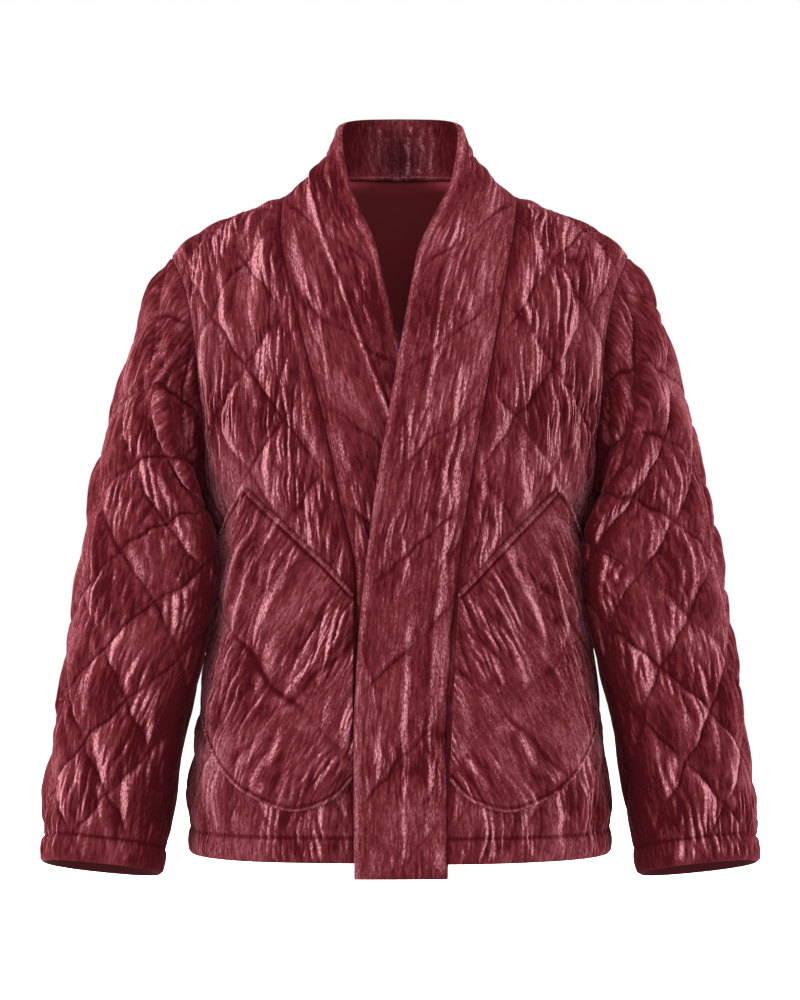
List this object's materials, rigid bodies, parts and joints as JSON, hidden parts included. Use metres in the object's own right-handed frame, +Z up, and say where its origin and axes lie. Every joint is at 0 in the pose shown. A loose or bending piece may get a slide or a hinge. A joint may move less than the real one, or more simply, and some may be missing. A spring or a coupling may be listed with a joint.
{
  "type": "quilted velvet jacket",
  "caption": "Hollow quilted velvet wrap jacket in its worn shape, with drop-shoulder sleeves, a shawl collar running into the front band, and slanted patch pockets.",
  "frame": {"origin": "midway between the shoulders, level with the tops of the shoulder seams at the neck, where a wearer's shoulders hold the jacket", "axes": "+Z up, -Y out of the front, +X to the wearer's left"},
  "size_m": [0.662, 0.2431, 0.7115],
  "materials": {
    "velvet": "crushed velvet, quilted over wadding",
    "lining": "plain woven lining"
  },
  "bodies": {
    "root": {"back": "velvet", "front_left": "velvet", "front_right": "velvet", "sleeve_left": "velvet", "sleeve_right": "velvet", "band_left": "velvet", "band_right": "velvet", "pocket_left": "velvet", "pocket_right": "velvet", "back_lining": "lining"}
  },
  "joints": []
}
